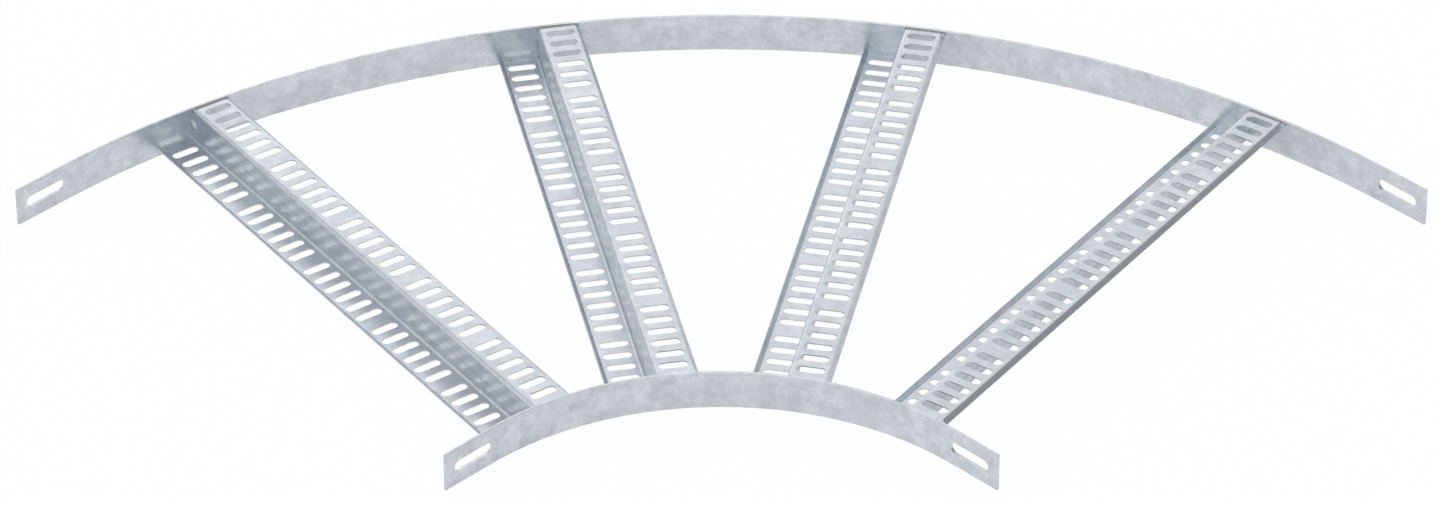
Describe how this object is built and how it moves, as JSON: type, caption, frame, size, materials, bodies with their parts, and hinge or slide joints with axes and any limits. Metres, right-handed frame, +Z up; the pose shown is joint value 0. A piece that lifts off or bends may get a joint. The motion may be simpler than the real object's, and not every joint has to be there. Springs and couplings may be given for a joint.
{
  "type": "cable ladder bend",
  "caption": "Flat 90 degree cable ladder bend: curved flat-bar rails joined by slotted Z-section rungs, to turn a cable run in its own plane.",
  "frame": {"origin": "on the surface the bend lies on, under the middle of its overall box", "axes": "+Z up from that surface; one pair of rail ends faces -Y and the other pair faces -X, so the bend opens towards -X -Y and its outer rail bulges towards +X +Y"},
  "size_m": [0.9646, 0.9646, 0.04],
  "materials": {
    "galvanised_steel": "hot-dip galvanised, matt to satin, mottled"
  },
  "bodies": {
    "root": {"outer_rail": "galvanised_steel", "inner_rail": "galvanised_steel", "rung_1": "galvanised_steel", "rung_2": "galvanised_steel", "rung_3": "galvanised_steel", "rung_4": "galvanised_steel"}
  },
  "joints": []
}
